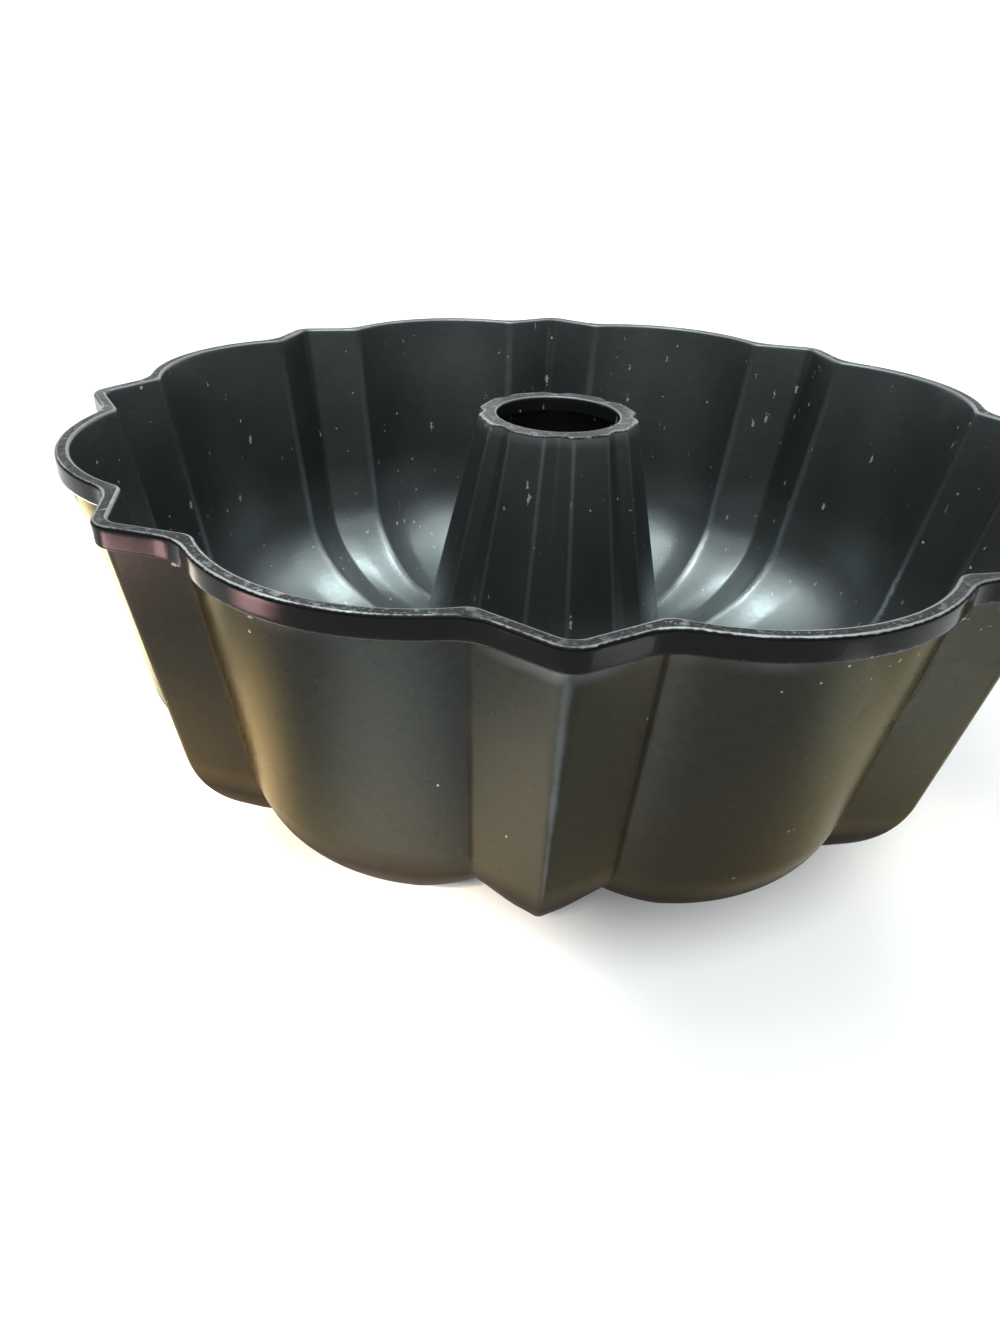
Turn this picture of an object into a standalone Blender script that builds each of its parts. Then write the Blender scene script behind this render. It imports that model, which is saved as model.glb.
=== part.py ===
"""A fluted tube pan: a cast ring-cake mould with ridges and lobes round its wall and a tube up its middle.

The real pan is one casting. Here it is parted where its section changes, into the rim band, the fluted
wall, the rounded floor, the centre tube and the collar on top of the tube. Metres, +Z up. The origin is on
the pan's axis, at the level that it stands on, and one ridge points along -Y.
"""

import math

import bmesh
import bpy
from mathutils import Vector

# Outline of the rim, seen from above
FLUTES = 8
RIM_REACH = 0.129  # from the axis to a ridge's tip, on the outside of the rim band
LOBE_STEP = 0.001  # how much further out a ridge's tip is than the middle of a lobe
LOBE_RADIUS = 0.0475
FLANK_ANGLE = math.radians(32.5)  # between a ridge's flank and the line across its tip
BAND_RIDGE_ROUND = 0.0065
BAND_VALLEY_ROUND = 0.0125  # the band runs in a soft wave where the wall has a sharp valley

# The wall and what shapes it
WALL = 0.0025
RIDGE_ROUND = 0.002  # on the floor and at the knee: the ridges grow rounder from there up to the band
GROOVE_TOP_ROUND = 0.0045  # inside, behind a ridge's tip, at the rim
GROOVE_ROUND = 0.0015  # the same on the floor and at the knee
VALLEY_ROUND = 0.002
WALL_DRAFT = math.radians(10.2)

# Heights above the level that the pan stands on
PAN_HEIGHT = 0.0925
KNEE_HEIGHT = 0.0305  # the straight wall ends here and the rounded floor begins
TUBE_JOINT_HEIGHT = 0.018
TUBE_TOP_DROP = 0.0007  # from the rim down to the top of the tube

# Rim band
BAND_HEIGHT = 0.005
BAND_PROUD = 0.0007  # beyond the outline of the wall, carried up to the rim
BAND_EDGE_ROUND = 0.0007

# Floor
CROWN_REACH = 0.0685  # the rounding ends here, on a ridge, and the flat ring that carries the pan begins
KNEE_FULLNESS = 0.59  # how far the rounding bulges towards its corner, from 0 to 1
FLUTE_FADE_REACH = 0.092  # further in than this, the flutes' outline turns into the tube's
CREASE_LIFT = 0.0027  # how far the creases between the flutes stand above the floor
REST_SHARE = 0.97  # of a ridge's reach: the outline beyond it has no lift, and rests flat
FOOT_FILLET = 0.014

# Centre tube
TUBE_TOP_RADIUS = 0.0217  # over the edges between its panels
TUBE_FOOT_RADIUS = 0.0425  # the same, carried down to the level that the pan stands on
TUBE_GROOVE_DEPTH = 0.0015
TUBE_GROOVE_HALF_ANGLE = math.radians(10)
TUBE_PANEL_DIP = 0.0003  # how much flatter than round a wide panel is in its middle
TUBE_EDGE_ROUND = math.radians(1.6)
COLLAR_HEIGHT = 0.004
COLLAR_BORE_RADIUS = 0.0167
COLLAR_EDGE_ROUND = 0.0005

JOINT_GAP = 0.0003

# Points along each stretch of half a flute, from the middle of a ridge to the middle of a lobe
TIP_STEPS = 1
VALLEY_STEPS = 2
LOBE_STEPS = 4
KNEE_STEPS = 6
FLAT_STEPS = 3
FILLET_STEPS = 4
EDGE_STEPS = 2
SHARP_ANGLE = math.radians(25)  # a sharper bend than this between two faces is drawn as an edge

PITCH = 2 * math.pi / FLUTES
HALF_PITCH = PITCH / 2
FRONT = -math.pi / 2
WALL_REACH = RIM_REACH - BAND_PROUD
BAND_BOTTOM = PAN_HEIGHT - BAND_HEIGHT
TUBE_TOP = PAN_HEIGHT - TUBE_TOP_DROP
COLLAR_BOTTOM = TUBE_TOP - COLLAR_HEIGHT
TUBE_DRAFT = math.atan((TUBE_FOOT_RADIUS - TUBE_TOP_RADIUS) / TUBE_TOP)
BORE_FOOT_RADIUS = TUBE_FOOT_RADIUS - TUBE_GROOVE_DEPTH - WALL / math.cos(TUBE_DRAFT)
KNEE_REACH = WALL_REACH - (PAN_HEIGHT - KNEE_HEIGHT) * math.tan(WALL_DRAFT)
CREASE_ROUND = VALLEY_ROUND + WALL  # inside, behind a valley


def clear_scene():
    for obj in list(bpy.data.objects):
        bpy.data.objects.remove(obj, do_unlink=True)


def finish(name, color, roughness, metallic):
    material = bpy.data.materials.new(name)
    material.use_nodes = True
    shader = material.node_tree.nodes["Principled BSDF"]
    shader.inputs["Base Color"].default_value = (*color, 1)
    shader.inputs["Roughness"].default_value = roughness
    shader.inputs["Metallic"].default_value = metallic
    material.diffuse_color = (*color, 1)
    return material


def polar(radius, angle):
    return Vector((radius * math.cos(angle), radius * math.sin(angle)))


def arc(centre, radius, start, end, steps):
    """Points of an arc, without its first one."""
    return [centre + polar(radius, start + (end - start) * k / steps) for k in range(1, steps + 1)]


def bowl_half(inset, tip_round, valley_round):
    """Plan points of half a flute, this far inside the band's outline, with the ridge along +X.

    They run from the ridge's tip, down its straight flank, round the valley and along the lobe's arc to
    the lobe's middle.
    """
    outward = polar(1, FLANK_ANGLE)
    along = Vector((-outward.y, outward.x))
    flank = RIM_REACH * outward.x + BAND_RIDGE_ROUND * (1 - outward.x) - inset
    lobe_centre = polar(RIM_REACH - LOBE_STEP - LOBE_RADIUS, HALF_PITCH)
    lobe_radius = LOBE_RADIUS - inset
    tip_centre = Vector(((flank - tip_round) / outward.x, 0))
    out_of_lobe = flank + valley_round - lobe_centre.dot(outward)
    past_lobe = math.sqrt((lobe_radius + valley_round) ** 2 - out_of_lobe**2)
    valley_centre = outward * (flank + valley_round) + along * (lobe_centre.dot(along) - past_lobe)
    outwards = valley_centre - lobe_centre
    lobe_start = math.atan2(outwards.y, outwards.x)
    points = [tip_centre + Vector((tip_round, 0))]
    points += arc(tip_centre, tip_round, 0, FLANK_ANGLE, TIP_STEPS)
    points.append(valley_centre - outward * valley_round)
    points += arc(valley_centre, valley_round, FLANK_ANGLE - math.pi, lobe_start - math.pi, VALLEY_STEPS)
    points += arc(lobe_centre, lobe_radius, lobe_start, HALF_PITCH, LOBE_STEPS)
    return points


def tube_half(radius, groove_depth):
    """Plan points of half a panel pair of the tube, one for each point of bowl_half.

    A groove with two flat sides lies behind each ridge, and a wide panel behind each lobe.
    """
    bottom = radius - groove_depth
    edge = TUBE_GROOVE_HALF_ANGLE
    edge_low = polar(bottom + groove_depth * (1 - TUBE_EDGE_ROUND / edge), edge - TUBE_EDGE_ROUND)
    points = [Vector((bottom, 0))]
    points += [polar(bottom, TUBE_EDGE_ROUND * k / TIP_STEPS / 2) for k in range(1, TIP_STEPS + 1)]
    points.append(edge_low)

    def panel(angle):
        across = (HALF_PITCH - angle) / (HALF_PITCH - edge)
        dip = TUBE_PANEL_DIP * (1 - across**2) if groove_depth else 0
        return polar(radius - dip, angle)

    panel_start = edge + TUBE_EDGE_ROUND
    corner = polar(radius, edge)
    for k in range(1, VALLEY_STEPS + 1):
        t = k / VALLEY_STEPS
        points.append(edge_low * (1 - t) ** 2 + corner * 2 * t * (1 - t) + panel(panel_start) * t**2)
    for k in range(1, LOBE_STEPS + 1):
        points.append(panel(panel_start + (HALF_PITCH - panel_start) * k / LOBE_STEPS))
    return points


def crease_shares():
    """How near each plan point is to the valley: 1 in its middle, 0 where the outline rests flat."""
    reaches = [p.length for p in bowl_half(BAND_PROUD, RIDGE_ROUND, VALLEY_ROUND)]
    level = REST_SHARE * reaches[0]
    return [max(0, level - reach) / (level - min(reaches)) for reach in reaches]


CREASE_SHARES = crease_shares()


def ring(half, height, lift=0.0):
    """All round the pan: the half flute and its mirror image, turned to each ridge."""
    low = [Vector((p.x, p.y, height + lift * share)) for p, share in zip(half, CREASE_SHARES)]
    high = [Vector((p.x, -p.y, p.z)) for p in reversed(low)]
    points = []
    for flute in range(FLUTES):
        angle = FRONT + flute * PITCH
        for part, turn in ((low[:-1], angle), (high[:-1], angle + PITCH)):
            cos, sin = math.cos(turn), math.sin(turn)
            points += [Vector((p.x * cos - p.y * sin, p.x * sin + p.y * cos, p.z)) for p in part]
    return points


def skin(name, rings, materials, inside=(), rounded=(), edge_round=0.0):
    """A closed body through rings of points: each is joined to the next, and the last to the first.

    The bands that start at the rings listed in inside get the second material, and the edges along the
    rings listed in rounded are rounded off.
    """
    bm = bmesh.new()
    loops = [[bm.verts.new(p) for p in points] for points in rings]
    for k, loop in enumerate(loops):
        beyond = loops[(k + 1) % len(loops)]
        for i in range(len(loop)):
            face = bm.faces.new((loop[i - 1], loop[i], beyond[i], beyond[i - 1]))
            face.material_index = int(k in inside)
    bmesh.ops.recalc_face_normals(bm, faces=bm.faces)
    edges = [bm.edges.get((loops[k][i - 1], loops[k][i])) for k in rounded for i in range(len(loops[k]))]
    bmesh.ops.bevel(
        bm, geom=edges, offset=edge_round, segments=EDGE_STEPS, profile=0.5, affect="EDGES", material=-1
    )
    mesh = bpy.data.meshes.new(name)
    bm.to_mesh(mesh)
    bm.free()
    mesh.shade_smooth()
    mesh.set_sharp_from_angle(angle=SHARP_ANGLE)
    obj = bpy.data.objects.new(name, mesh)
    for material in materials:
        mesh.materials.append(material)
    bpy.context.scene.collection.objects.link(obj)


def wall_scale(height):
    """How much the outline has drawn in at this height, going down from the rim."""
    return (WALL_REACH - (PAN_HEIGHT - height) * math.tan(WALL_DRAFT)) / WALL_REACH


def up_the_wall(height, at_knee, at_rim):
    """A size that changes evenly from the knee to the rim."""
    return at_knee + (at_rim - at_knee) * (height - KNEE_HEIGHT) / (PAN_HEIGHT - KNEE_HEIGHT)


def scaled(points, factor):
    return [p * factor for p in points]


def outside_of_wall(height):
    tip_round = up_the_wall(height, RIDGE_ROUND, BAND_RIDGE_ROUND - BAND_PROUD)
    return ring(scaled(bowl_half(BAND_PROUD, tip_round, VALLEY_ROUND), wall_scale(height)), height)


def inside_of_wall(height):
    factor = wall_scale(height)
    inset = BAND_PROUD + WALL / math.cos(WALL_DRAFT) / factor
    tip_round = up_the_wall(height, GROOVE_ROUND, GROOVE_TOP_ROUND)
    return ring(scaled(bowl_half(inset, tip_round, CREASE_ROUND), factor), height)


def rim_band(band_finish):
    outline = bowl_half(0, BAND_RIDGE_ROUND, BAND_VALLEY_ROUND)
    rings = [
        ring(outline, BAND_BOTTOM),
        ring(outline, PAN_HEIGHT),
        inside_of_wall(PAN_HEIGHT),
        inside_of_wall(BAND_BOTTOM),
    ]
    skin("rim_band", rings, [band_finish], rounded=(0, 1, 2), edge_round=BAND_EDGE_ROUND)


def fluted_wall(outside, inside):
    top = BAND_BOTTOM - JOINT_GAP
    bottom = KNEE_HEIGHT + JOINT_GAP
    rings = [outside_of_wall(bottom), outside_of_wall(top), inside_of_wall(top), inside_of_wall(bottom)]
    skin("fluted_wall", rings, [outside, inside], inside=(2,))


def knee_stations():
    """Reach, height and outward normal along the rounding from the knee down to the flat ring."""
    start = Vector((KNEE_REACH, KNEE_HEIGHT))
    corner = Vector((KNEE_REACH - KNEE_HEIGHT * math.tan(WALL_DRAFT), 0))
    end = Vector((CROWN_REACH, 0))
    first = start.lerp(corner, KNEE_FULLNESS)
    second = end.lerp(corner, KNEE_FULLNESS)
    stations = []
    for k in range(1, KNEE_STEPS + 1):
        t = k / KNEE_STEPS
        u = 1 - t
        place = start * u**3 + first * 3 * u * u * t + second * 3 * u * t * t + end * t**3
        run = ((first - start) * u * u + (second - first) * 2 * u * t + (end - second) * t * t).normalized()
        stations.append((place.x, place.y, Vector((-run.y, run.x))))
    return stations


def fillet_stations(foot_radius, floor_height, radius):
    """Radius, height and steepness along the fillet from the floor up to the tube's slope."""
    centre = Vector((0, floor_height + radius))
    centre.x = foot_radius - centre.y * math.tan(TUBE_DRAFT) + radius / math.cos(TUBE_DRAFT)
    start = -math.pi / 2
    end = -math.pi + TUBE_DRAFT
    stations = [(centre.x, floor_height, 1.0)]
    for k in range(1, FILLET_STEPS + 1):
        angle = start + (end - start) * k / FILLET_STEPS
        place = centre + polar(radius, angle)
        stations.append((place.x, place.y, -math.sin(angle)))
    return stations


def floor_outline(bowl, foot, reach):
    """The flutes' outline at this reach, which turns into the tube's on the way in to its foot."""
    foot_reach = foot[-1].length
    share = min(1, max(0, (FLUTE_FADE_REACH - reach) / (FLUTE_FADE_REACH - foot_reach)))
    share = share * share * (3 - 2 * share)
    fluted = scaled(bowl, reach / WALL_REACH)
    plain = scaled(foot, reach / foot_reach)
    return [a.lerp(b, share) for a, b in zip(fluted, plain)]


def across_the_flat(foot):
    """Reaches over the flat of the floor, between the end of the rounding and the foot of the tube."""
    step = (foot[-1].length - CROWN_REACH) / FLAT_STEPS
    return [CROWN_REACH + step * k for k in range(1, FLAT_STEPS)]


def underside_rings():
    bowl = bowl_half(BAND_PROUD, RIDGE_ROUND, VALLEY_ROUND)
    fillet = fillet_stations(BORE_FOOT_RADIUS, 0, FOOT_FILLET + WALL)
    foot = tube_half(fillet[0][0], 0)
    rings = [outside_of_wall(KNEE_HEIGHT)]
    for reach, height, outward in knee_stations():
        rings.append(ring(floor_outline(bowl, foot, reach), height, -CREASE_LIFT * outward.y))
    for reach in across_the_flat(foot):
        rings.append(ring(floor_outline(bowl, foot, reach), 0, CREASE_LIFT))
    for radius, height, steepness in fillet:
        rings.append(ring(tube_half(radius, 0), height, CREASE_LIFT * steepness))
    rings.append(ring(tube_half(bore_radius(TUBE_JOINT_HEIGHT), 0), TUBE_JOINT_HEIGHT))
    return rings


def upper_side_rings():
    fillet = fillet_stations(TUBE_FOOT_RADIUS, WALL, FOOT_FILLET)
    foot = tube_half(fillet[0][0], TUBE_GROOVE_DEPTH)
    rings = [inside_of_wall(KNEE_HEIGHT)]
    for reach, height, outward in knee_stations():
        inset = BAND_PROUD + WALL * outward.x * WALL_REACH / reach
        bowl = bowl_half(inset, GROOVE_ROUND, CREASE_ROUND)
        outline = floor_outline(bowl, foot, reach)
        rings.append(ring(outline, height - WALL * outward.y, -CREASE_LIFT * outward.y))
    for reach in across_the_flat(foot):
        rings.append(ring(floor_outline(bowl, foot, reach), WALL, CREASE_LIFT))
    for radius, height, steepness in fillet:
        rings.append(ring(tube_half(radius, TUBE_GROOVE_DEPTH), height, CREASE_LIFT * steepness))
    rings.append(tube_outside(TUBE_JOINT_HEIGHT))
    return rings


def fluted_floor(outside, inside):
    lower = underside_rings()
    upper = upper_side_rings()[::-1]
    lining = range(len(lower), len(lower) + len(upper) - 1)
    skin("fluted_floor", lower + upper, [outside, inside], inside=lining)


def tube_outside(height):
    return ring(tube_half(TUBE_FOOT_RADIUS - height * math.tan(TUBE_DRAFT), TUBE_GROOVE_DEPTH), height)


def bore_radius(height):
    return BORE_FOOT_RADIUS - height * math.tan(TUBE_DRAFT)


def centre_tube(outside, inside):
    bottom = TUBE_JOINT_HEIGHT + JOINT_GAP
    top = COLLAR_BOTTOM - JOINT_GAP
    rings = [
        ring(tube_half(bore_radius(bottom), 0), bottom),
        ring(tube_half(bore_radius(top), 0), top),
        tube_outside(top),
        tube_outside(bottom),
    ]
    skin("centre_tube", rings, [outside, inside], inside=(2,))


def tube_collar(land_finish):
    bore = tube_half(COLLAR_BORE_RADIUS, 0)
    rings = [
        ring(bore, COLLAR_BOTTOM),
        ring(bore, TUBE_TOP),
        tube_outside(TUBE_TOP),
        tube_outside(COLLAR_BOTTOM),
    ]
    skin("tube_collar", rings, [land_finish], rounded=(1, 2), edge_round=COLLAR_EDGE_ROUND)


def build():
    clear_scene()
    bronze = finish("bronze exterior", (0.085, 0.078, 0.058), 0.42, 0.7)
    nonstick = finish("non-stick interior", (0.022, 0.024, 0.025), 0.38, 0.1)
    band = finish("dark rim band", (0.030, 0.026, 0.025), 0.28, 0.4)
    worn = finish("worn land", (0.12, 0.12, 0.12), 0.5, 0.6)
    rim_band(band)
    fluted_wall(bronze, nonstick)
    fluted_floor(bronze, nonstick)
    centre_tube(bronze, nonstick)
    tube_collar(worn)


build()
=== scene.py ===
# %% [markdown]
# # A fluted tube pan
# The pan is one aluminium casting: a bowl whose wall is pressed out into eight ridges and eight round
# lobes, with a hollow tube up its middle. The frame holds it at its true size as five plain solids. This
# script builds fine surfaces over them and gives each its finish, as it looks after years of baking.
# Metres, +Z up the tube. One ridge points along -Y, towards the camera.

# %% Load the frame
import math
from collections import namedtuple

import bmesh
import bpy
from mathutils import Matrix, Vector


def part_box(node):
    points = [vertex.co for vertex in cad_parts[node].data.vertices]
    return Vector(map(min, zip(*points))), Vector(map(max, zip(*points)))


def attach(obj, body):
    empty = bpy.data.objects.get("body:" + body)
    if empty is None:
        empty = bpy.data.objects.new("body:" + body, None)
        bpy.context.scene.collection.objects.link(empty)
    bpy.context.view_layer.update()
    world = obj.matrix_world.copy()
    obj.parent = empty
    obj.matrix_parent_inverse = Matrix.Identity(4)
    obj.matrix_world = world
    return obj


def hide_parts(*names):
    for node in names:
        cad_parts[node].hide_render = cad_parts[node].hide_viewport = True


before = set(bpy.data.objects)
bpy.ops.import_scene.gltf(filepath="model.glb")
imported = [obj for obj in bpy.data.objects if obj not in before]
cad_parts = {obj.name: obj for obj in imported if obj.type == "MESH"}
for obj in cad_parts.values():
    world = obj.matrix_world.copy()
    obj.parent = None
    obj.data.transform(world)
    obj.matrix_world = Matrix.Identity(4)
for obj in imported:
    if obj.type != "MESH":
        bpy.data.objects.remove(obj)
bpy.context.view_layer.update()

# %% [markdown]

# %% [markdown]
# The heights and reaches come from the solids themselves, so the fine surfaces meet where the solids do.
# The seams between the solids are a gap of 0.3 mm. A casting has none, so here the pieces share one height.

# %% Read the main sizes
FLUTES = 8
PITCH = 2 * math.pi / FLUTES
HALF_PITCH = PITCH / 2
FRONT = -math.pi / 2

RIM_REACH = -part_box("rim_band")[0].y
PAN_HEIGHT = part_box("rim_band")[1].z
BAND_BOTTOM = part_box("rim_band")[0].z
KNEE_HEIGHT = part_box("fluted_floor")[1].z
TUBE_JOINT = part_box("centre_tube")[0].z
COLLAR_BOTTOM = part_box("tube_collar")[0].z
TUBE_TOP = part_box("tube_collar")[1].z
print(f"reach {RIM_REACH:.4f}, height {PAN_HEIGHT:.4f}")
print(f"band from {BAND_BOTTOM:.4f}, knee at {KNEE_HEIGHT:.4f}")

# %% [markdown]
# Seen from above, half a flute is an arc at the ridge's tip, a straight flank, a small arc the other way in
# the valley and a long arc round the lobe. Half is enough: the other half is its mirror image, and the
# eight flutes are copies. A curve object could hold the outline too, but arcs with a centre and a radius
# keep every round stretch exact, and an offset of the wall is then only a change of the radii.

# %% Draw half a flute
LOBE_STEP = 0.001
LOBE_RADIUS = 0.0475
FLANK_ANGLE = math.radians(32.5)
BAND_RIDGE_ROUND = 0.0065
BAND_VALLEY_ROUND = 0.0125
TIP_STEPS = 5
FLANK_STEPS = 6
BEND_STEPS = 7
LOBE_STEPS = 20


def polar(radius, angle):
    return Vector((radius * math.cos(angle), radius * math.sin(angle)))


def arc(centre, radius, start, end, steps):
    """Points of an arc, without its first one."""
    return [centre + polar(radius, start + (end - start) * k / steps) for k in range(1, steps + 1)]


def line(start, end, steps):
    """Points of a straight stretch, without its first one."""
    return [start.lerp(end, k / steps) for k in range(1, steps + 1)]


def bowl_half(inset, tip_round, valley_round):
    """Half a flute this far inside the rim's outline, from the ridge's tip on +X to the lobe's middle."""
    outward = polar(1, FLANK_ANGLE)
    along = Vector((-outward.y, outward.x))
    flank = RIM_REACH * outward.x + BAND_RIDGE_ROUND * (1 - outward.x) - inset
    lobe_centre = polar(RIM_REACH - LOBE_STEP - LOBE_RADIUS, HALF_PITCH)
    lobe_radius = LOBE_RADIUS - inset
    tip_centre = Vector(((flank - tip_round) / outward.x, 0))
    out_of_lobe = flank + valley_round - lobe_centre.dot(outward)
    past_lobe = math.sqrt((lobe_radius + valley_round) ** 2 - out_of_lobe**2)
    valley_centre = outward * (flank + valley_round) + along * (lobe_centre.dot(along) - past_lobe)
    back = valley_centre - lobe_centre
    lobe_start = math.atan2(back.y, back.x)
    points = [tip_centre + Vector((tip_round, 0))]
    points += arc(tip_centre, tip_round, 0, FLANK_ANGLE, TIP_STEPS)
    points += line(points[-1], valley_centre - outward * valley_round, FLANK_STEPS)
    points += arc(valley_centre, valley_round, FLANK_ANGLE - math.pi, lobe_start - math.pi, BEND_STEPS)
    points += arc(lobe_centre, lobe_radius, lobe_start, HALF_PITCH, LOBE_STEPS)
    return points


print("points along half a flute:", len(bowl_half(0, BAND_RIDGE_ROUND, BAND_VALLEY_ROUND)))

# %% [markdown]
# The tube repeats the rhythm of the bowl: a shallow groove with two flat sides stands behind each ridge,
# and a wide panel, a little flatter than round, behind each lobe. Its half outline has as many points as
# the bowl's, in the same order, so the one can turn into the other across the floor.

# %% Draw half a panel pair of the tube
TUBE_GROOVE_DEPTH = 0.0015
TUBE_GROOVE_HALF_ANGLE = math.radians(10)
TUBE_PANEL_DIP = 0.0003
TUBE_EDGE_ROUND = math.radians(1.6)


def tube_half(radius, groove_depth):
    """Half a groove and half a panel. The edge between them is at this radius."""
    bottom = radius - groove_depth
    edge = TUBE_GROOVE_HALF_ANGLE
    edge_low = polar(bottom + groove_depth * (1 - TUBE_EDGE_ROUND / edge), edge - TUBE_EDGE_ROUND)
    points = [polar(bottom, TUBE_EDGE_ROUND / 2 * k / TIP_STEPS) for k in range(TIP_STEPS + 1)]
    points += line(points[-1], edge_low, FLANK_STEPS)

    def panel(angle):
        across = (HALF_PITCH - angle) / (HALF_PITCH - edge)
        dip = TUBE_PANEL_DIP * (1 - across**2) if groove_depth else 0
        return polar(radius - dip, angle)

    panel_start = edge + TUBE_EDGE_ROUND
    corner = polar(radius, edge)
    for k in range(1, BEND_STEPS + 1):
        t = k / BEND_STEPS
        points.append(edge_low * (1 - t) ** 2 + corner * 2 * t * (1 - t) + panel(panel_start) * t**2)
    width = HALF_PITCH - panel_start
    points += [panel(panel_start + width * k / LOBE_STEPS) for k in range(1, LOBE_STEPS + 1)]
    return points


print("points along half a panel pair:", len(tube_half(0.03, TUBE_GROOVE_DEPTH)))

# %% [markdown]
# Wear follows the form. Where the outline sticks out the coat is rubbed, and where it turns in, crumbs and
# burnt fat stay, and the colour is darkened as painted shade. So each point of the outline gets a share of
# "tip" and of "bend": 1 in the middle of the ridge's arc or of the valley's arc, 0 on the plain stretches
# between. A Bevel node or the pointiness of the surface could find the edges by themselves, but they would
# mark every edge alike.

# %% Shares of wear along the outline
TIP_WEAR = [1.0, 0.75, 0.35, 0.05, 0.0, 0.0]
BEND_WEAR = [0.30, 0.60, 0.90, 1.0, 1.0, 0.90, 0.60, 0.30]
TIP_SHARES = TIP_WEAR + [0.0] * (FLANK_STEPS + BEND_STEPS + LOBE_STEPS)
BEND_SHARES = [0.0] * (TIP_STEPS + FLANK_STEPS) + BEND_WEAR + [0.0] * LOBE_STEPS
print("shares for", len(TIP_SHARES), "and", len(BEND_SHARES), "points")

# %% [markdown]
# Every piece of the pan is the same kind of body: the half flute, carried along a profile and back to where
# it started. So one helper makes them all. It starts from a chain of edges, extrudes it from station to
# station, mirrors the strip over the ridge and spins seven more copies round the axis. Two numbers ride on
# the points: their place along the outline, which an extrusion copies, and "worn", which is above 0 where the
# coat is rubbed and below 0 where dirt gathers and painted shade darkens the hollows and the bore.

# %% Carry an outline along a profile
MERGE = 1e-6
SHARP_ANGLE = math.radians(35)
Station = namedtuple("Station", "outline height lift worn tip bend finish")


def station(outline, height, lift=0.0, worn=0.0, tip=0.0, bend=0.0, finish=0):
    return Station(outline, height, lift, worn, tip, bend, finish)


def loft(name, stations, finishes, shares):
    """A closed body through the stations. The strip that starts at a station takes that station's finish."""
    bm = bmesh.new()
    place = bm.verts.layers.int.new("place")
    worn = bm.verts.layers.float.new("worn")
    chain = [bm.verts.new() for _ in stations[0].outline]
    for k, vert in enumerate(chain):
        vert[place] = k
    edges = [bm.edges.new(pair) for pair in zip(chain, chain[1:])]

    def settle(verts, at):
        for vert in verts:
            k = vert[place]
            vert.co = (*at.outline[k], at.height + at.lift * shares[k])
            vert[worn] = at.worn + at.tip * TIP_SHARES[k] + at.bend * BEND_SHARES[k]

    settle(chain, stations[0])
    for start, end in zip(stations, stations[1:] + stations[:1]):
        made = bmesh.ops.extrude_edge_only(bm, edges=edges)["geom"]
        verts = {item for item in made if isinstance(item, bmesh.types.BMVert)}
        edges = [
            item for item in made if isinstance(item, bmesh.types.BMEdge) and verts.issuperset(item.verts)
        ]
        for face in made:
            if isinstance(face, bmesh.types.BMFace):
                face.material_index = start.finish
        settle(verts, end)
    bmesh.ops.mirror(bm, geom=bm.verts[:] + bm.edges[:] + bm.faces[:], axis="Y", merge_dist=MERGE)
    bmesh.ops.rotate(bm, verts=bm.verts, matrix=Matrix.Rotation(FRONT, 3, "Z"))
    bmesh.ops.spin(
        bm, geom=bm.verts[:] + bm.edges[:] + bm.faces[:], axis=(0, 0, 1), angle=2 * math.pi - PITCH,
        steps=FLUTES - 1, use_duplicate=True,
    )
    bmesh.ops.remove_doubles(bm, verts=bm.verts, dist=MERGE)
    bmesh.ops.recalc_face_normals(bm, faces=bm.faces)
    open_edges = sum(len(edge.link_faces) != 2 for edge in bm.edges)
    mesh = bpy.data.meshes.new(name)
    bm.to_mesh(mesh)
    bm.free()
    mesh.shade_smooth()
    mesh.set_sharp_from_angle(angle=SHARP_ANGLE)
    for finish in finishes:
        mesh.materials.append(finish)
    piece = bpy.data.objects.new(name, mesh)
    bpy.context.scene.collection.objects.link(piece)
    print(f"{name}: {len(mesh.polygons)} faces, {open_edges} open edges")
    return piece


# %% [markdown]
# The casting needs four finishes. They are made empty here, so that the meshes can name them, and each is
# painted in its own cell further down, once there is something to look at.

# %% Name the four finishes
def new_finish(name):
    material = bpy.data.materials.new(name)
    material.use_nodes = True
    return material


bronze = new_finish("bronze_coat")
nonstick = new_finish("nonstick")
rim_coat = new_finish("rim_coat")
worn_land = new_finish("worn_land")
print("finishes:", bronze.name, nonstick.name, rim_coat.name, worn_land.name)

# %% [markdown]
# A cast wall leans outwards so that it leaves its mould, here by about 10 degrees. The outline shrinks with
# the lean on the way down. The ridges are round at the rim and nearly sharp at the knee, and the inside
# follows the outside at the wall's thickness. The creases between the flutes rise a little off the floor,
# in the share that CREASE_SHARES gives to each point of the outline.

# %% Describe the wall
WALL = 0.0025
WALL_DRAFT = math.radians(10.2)
BAND_PROUD = 0.0007
WALL_REACH = RIM_REACH - BAND_PROUD
RIDGE_ROUND = 0.002
GROOVE_TOP_ROUND = 0.0045
GROOVE_ROUND = 0.0015
VALLEY_ROUND = 0.002
CREASE_ROUND = VALLEY_ROUND + WALL
REST_SHARE = 0.97


def wall_scale(height):
    return (WALL_REACH - (PAN_HEIGHT - height) * math.tan(WALL_DRAFT)) / WALL_REACH


def up_the_wall(height, at_knee, at_rim):
    return at_knee + (at_rim - at_knee) * (height - KNEE_HEIGHT) / (PAN_HEIGHT - KNEE_HEIGHT)


def scaled(points, factor):
    return [point * factor for point in points]


def outside_of_wall(height):
    tip_round = up_the_wall(height, RIDGE_ROUND, BAND_RIDGE_ROUND - BAND_PROUD)
    return scaled(bowl_half(BAND_PROUD, tip_round, VALLEY_ROUND), wall_scale(height))


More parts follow.
